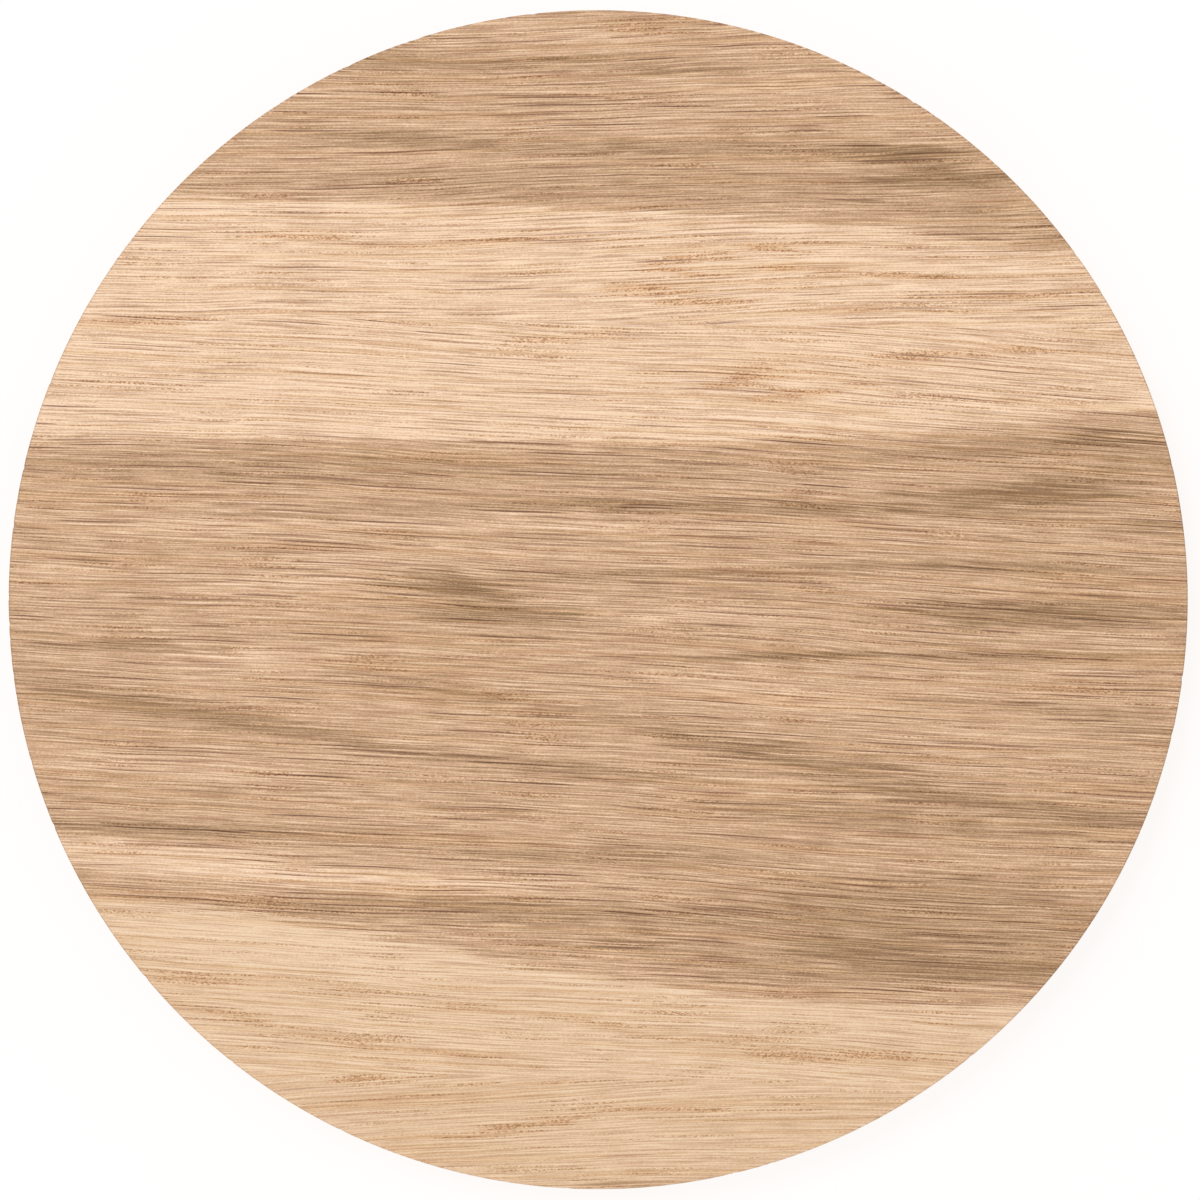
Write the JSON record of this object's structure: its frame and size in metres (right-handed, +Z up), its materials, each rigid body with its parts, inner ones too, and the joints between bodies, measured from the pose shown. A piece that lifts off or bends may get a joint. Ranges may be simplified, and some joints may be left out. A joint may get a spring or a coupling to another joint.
{
  "type": "wood slice",
  "caption": "Round slice of bare flat-sawn oak with square sawn edges, cut from an edge-glued board; lies flat as a base, board or display disc.",
  "frame": {"origin": "centre of the underside, on the surface the slice lies on", "axes": "+Z up through the thickness; +X along the grain and the two glue lines; +Y across the grain towards the back stave"},
  "size_m": [0.3, 0.3, 0.02],
  "materials": {
    "stave_back": "bare, finely sanded oak, pale with an olive-tan outer band",
    "stave_middle": "bare, finely sanded oak, tan heartwood between two pale bands",
    "stave_front": "bare, finely sanded oak, pale straw"
  },
  "bodies": {
    "root": {"stave_back": "stave_back", "stave_middle": "stave_middle", "stave_front": "stave_front"}
  },
  "joints": []
}
